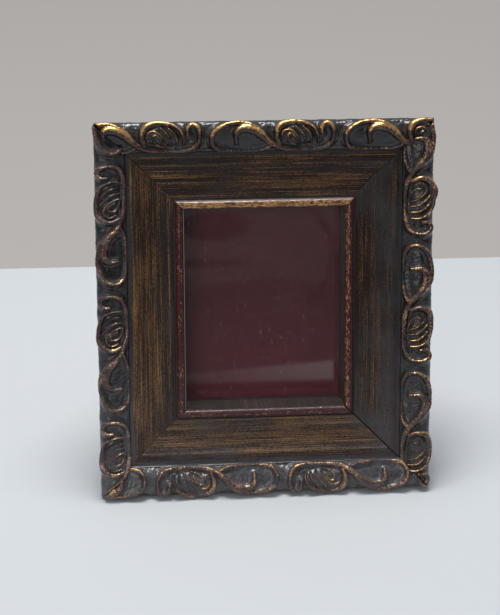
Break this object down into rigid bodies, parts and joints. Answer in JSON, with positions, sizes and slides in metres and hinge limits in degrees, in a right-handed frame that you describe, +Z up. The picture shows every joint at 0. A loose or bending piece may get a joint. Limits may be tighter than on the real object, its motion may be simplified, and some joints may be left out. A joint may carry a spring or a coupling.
{
  "type": "coin display frame",
  "caption": "Small deep ornamental frame with a glazed, lined recess for coins, a back held by turn buttons and a folding easel leg that it leans back on.",
  "frame": {"origin": "middle of the narrow flat on the bottom rail's back edge, on the table", "axes": "+Z up, +X to the viewer's right, -Y out of the front; the frame leans back by 14 degrees towards +Y"},
  "size_m": [0.146, 0.0866, 0.161],
  "materials": {
    "gilded_moulding": "bronzed and gilt gesso over red bole, streaked and rubbed, satin; bare wood behind",
    "ornament_composition": "pressed composition with a charcoal patina, gold and red rubbed through on the ridges",
    "glass": "clear picture glass, slightly dusty",
    "maroon_panel": "dark maroon velvet on card",
    "spacer_wood": "softwood, stained dark brown",
    "backing_board": "brown hardboard, matt",
    "leg_board": "dark brown stained board, matt",
    "brass": "satin, lightly tarnished",
    "steel": "dull"
  },
  "bodies": {
    "frame": {"rail_bottom": "gilded_moulding", "rail_right": "gilded_moulding", "rail_top": "gilded_moulding", "rail_left": "gilded_moulding", "ornament_bottom": "ornament_composition", "ornament_right": "ornament_composition", "ornament_top": "ornament_composition", "ornament_left": "ornament_composition", "corner_nail_left_bottom": "steel", "corner_nail_bottom_right": "steel", "corner_nail_right_top": "steel", "corner_nail_top_left": "steel", "spacer_bottom": "spacer_wood", "spacer_right": "spacer_wood", "spacer_top": "spacer_wood", "spacer_left": "spacer_wood", "glass_pane": "glass", "display_panel": "maroon_panel", "back_board": "backing_board", "hinge_leaf_board": "brass", "hinge_pin": "steel", "board_rivet_left": "brass", "board_rivet_right": "brass", "button_screw_lower_left": "brass", "button_screw_upper_left": "brass", "button_screw_lower_right": "brass", "button_screw_upper_right": "brass"},
    "easel": {"easel_leg": "leg_board", "hinge_leaf_leg": "brass", "leg_rivet_left": "brass", "leg_rivet_right": "brass"},
    "button_lower_left": {"turn_button_lower_left": "brass"},
    "button_upper_left": {"turn_button_upper_left": "brass"},
    "button_lower_right": {"turn_button_lower_right": "brass"},
    "button_upper_right": {"turn_button_upper_right": "brass"}
  },
  "joints": [
    {"name": "easel_fold", "type": "hinge", "parent": "frame", "child": "easel", "pos_m": [0, 0.0296, 0.10362], "axis": [-1, 0, 0], "range_deg": [0, 28.8]},
    {"name": "button_turn_lower_left", "type": "hinge", "parent": "frame", "child": "button_lower_left", "pos_m": [-0.04213, 0.01265, 0.04245], "axis": [0, 0.9703, -0.2419], "continuous": true},
    {"name": "button_turn_upper_left", "type": "hinge", "parent": "frame", "child": "button_upper_left", "pos_m": [-0.04213, 0.02861, 0.10649], "axis": [0, 0.9703, -0.2419], "continuous": true},
    {"name": "button_turn_lower_right", "type": "hinge", "parent": "frame", "child": "button_lower_right", "pos_m": [0.04213, 0.01265, 0.04245], "axis": [0, 0.9703, -0.2419], "continuous": true},
    {"name": "button_turn_upper_right", "type": "hinge", "parent": "frame", "child": "button_upper_right", "pos_m": [0.04213, 0.02861, 0.10649], "axis": [0, 0.9703, -0.2419], "continuous": true}
  ]
}
